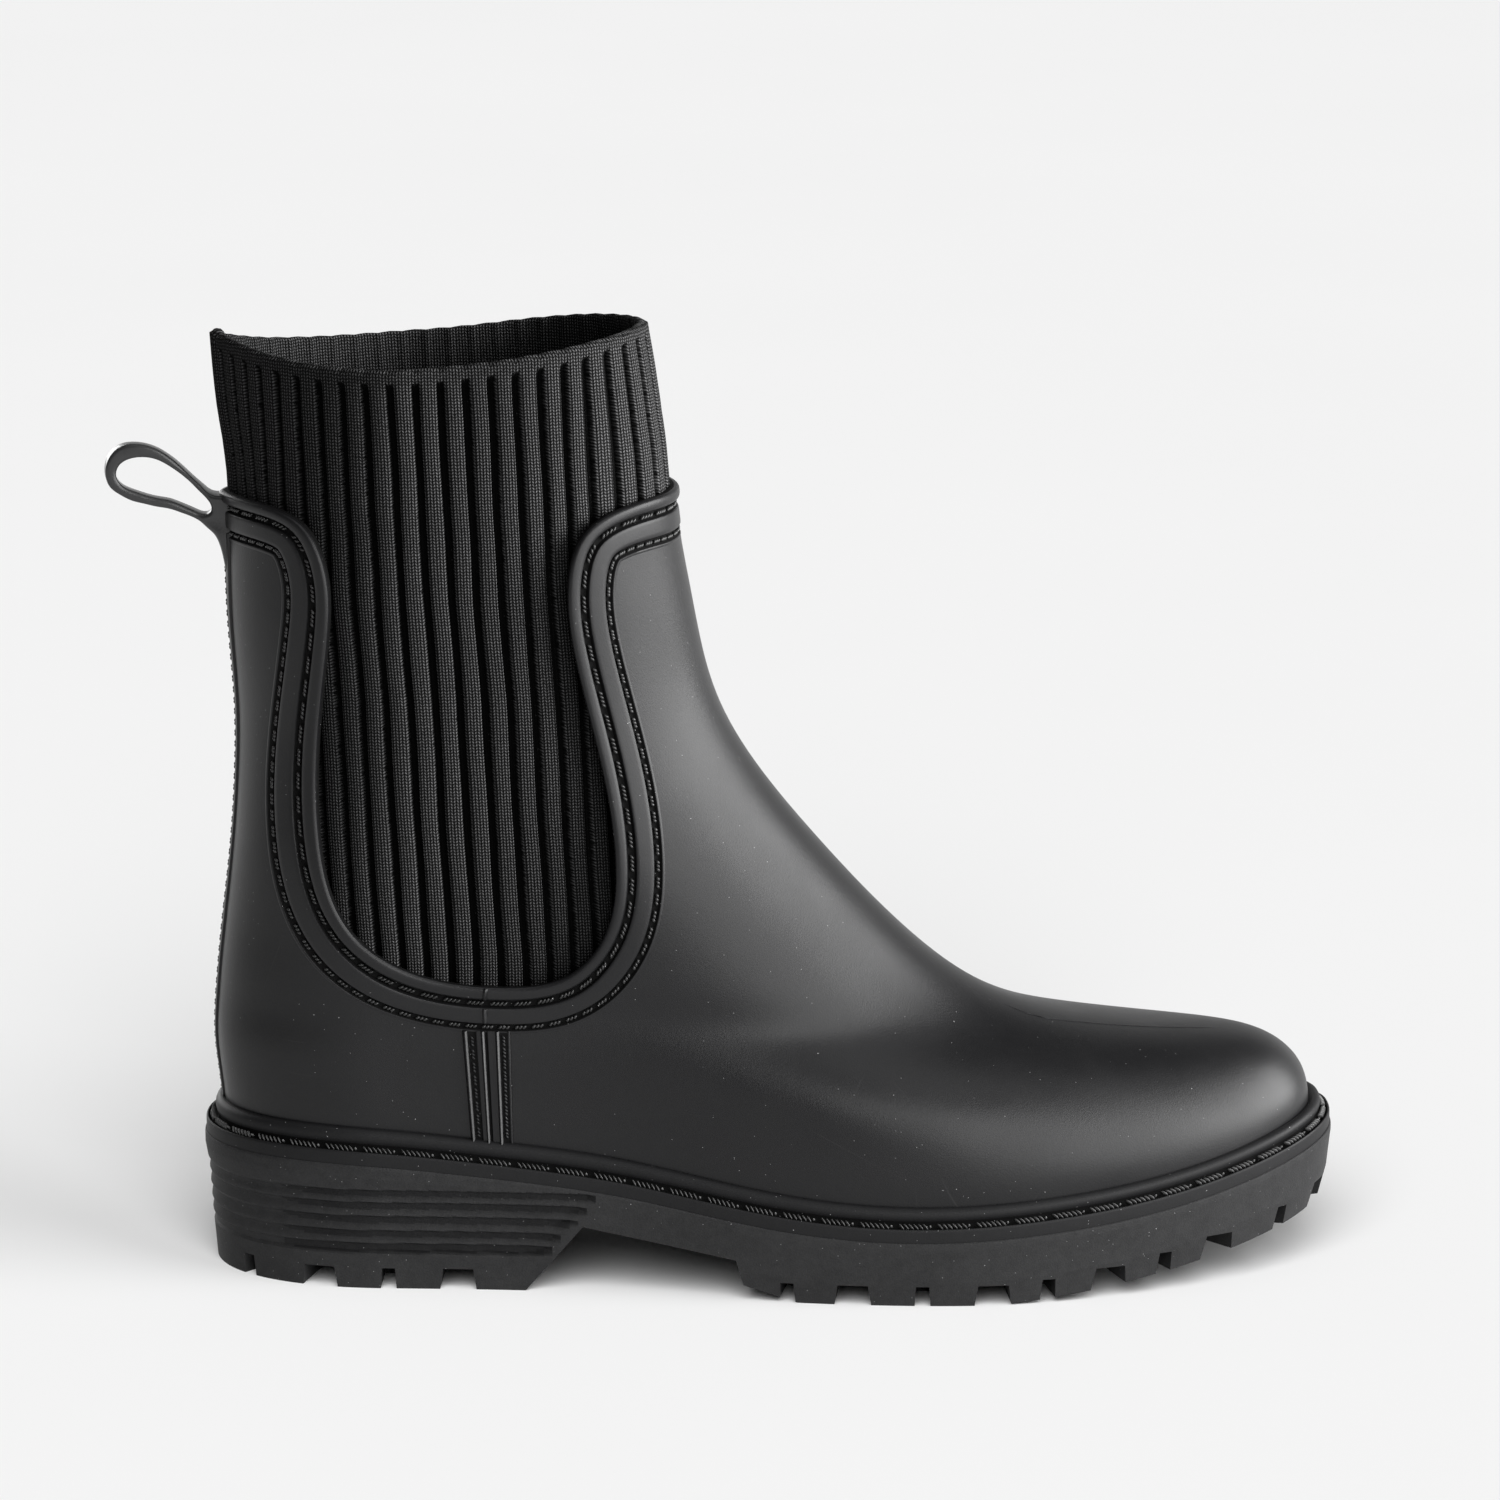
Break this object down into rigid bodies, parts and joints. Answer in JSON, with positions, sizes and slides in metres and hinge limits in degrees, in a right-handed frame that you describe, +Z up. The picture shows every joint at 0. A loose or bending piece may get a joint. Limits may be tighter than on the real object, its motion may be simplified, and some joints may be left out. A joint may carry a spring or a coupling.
{
  "type": "chelsea rain boot",
  "caption": "Ankle-high moulded rubber boot for the right foot, with a ribbed knit shaft showing in the side gussets, a finger loop at the back and a lugged sole with heel.",
  "frame": {"origin": "middle of the bounding box on the floor", "axes": "+X from heel to toe, -Y to the outer side of the foot, +Z up"},
  "size_m": [0.2976, 0.0992, 0.2314],
  "materials": {
    "moulded_rubber": "satin",
    "sole_rubber": "matte",
    "rib_knit": "ribbed knit",
    "insole_felt": "felt"
  },
  "bodies": {
    "root": {"outsole": "sole_rubber", "welt": "sole_rubber", "upper": "moulded_rubber", "knit_shaft": "rib_knit", "pull_loop": "moulded_rubber", "insole": "insole_felt"}
  },
  "joints": []
}
